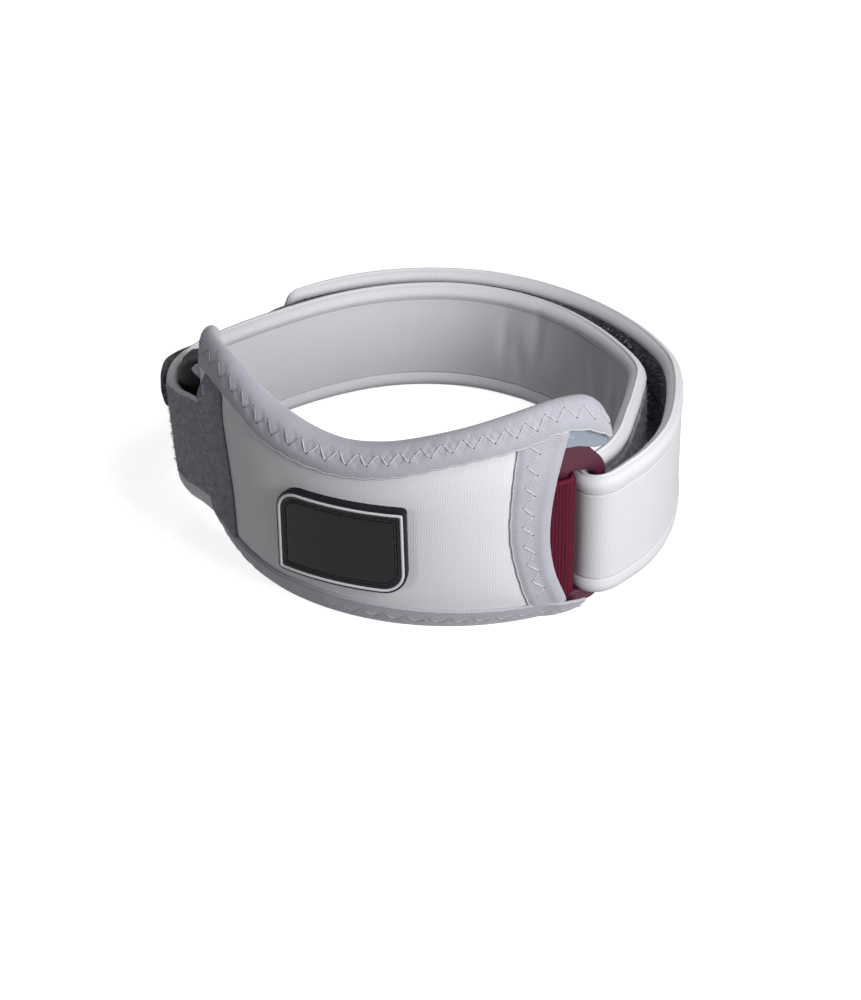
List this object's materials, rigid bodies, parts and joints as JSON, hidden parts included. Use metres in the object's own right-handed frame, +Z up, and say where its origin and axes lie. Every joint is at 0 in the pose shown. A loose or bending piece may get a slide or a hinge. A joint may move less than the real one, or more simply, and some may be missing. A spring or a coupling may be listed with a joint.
{
  "type": "patellar knee brace",
  "caption": "Padded patellar knee brace: a curved front pad with bound edges and a strap led round the leg, through a ring and back on itself to a hook closure.",
  "frame": {"origin": "centre of the bounding box's bottom face, on the floor the brace stands on", "axes": "+Z up along the leg, -Y the way the front pad faces, +X towards the ring end"},
  "size_m": [0.1244, 0.1208, 0.058],
  "materials": {
    "pad_foam": "matte lined foam",
    "cover_knit": "matte ribbed knit",
    "plate_plastic": "satin",
    "binding_tape": "matte knit tape",
    "badge_rubber": "satin moulded",
    "line_rubber": "satin moulded",
    "ring_plastic": "gloss moulded",
    "webbing": "woven",
    "strap_knit": "matte ribbed knit",
    "strap_velour": "napped pile",
    "hook_tape": "hooked nap"
  },
  "bodies": {
    "root": {"front_pad": "pad_foam", "front_cover": "cover_knit", "stiffener_plate": "plate_plastic", "top_binding": "binding_tape", "bottom_binding": "binding_tape", "right_edge_binding": "binding_tape", "left_edge_binding": "binding_tape", "badge": "badge_rubber", "badge_line": "line_rubber", "ring": "ring_plastic", "ring_webbing": "webbing", "strap": "strap_knit", "strap_pile": "strap_velour", "hook_strip": "hook_tape"}
  },
  "joints": []
}
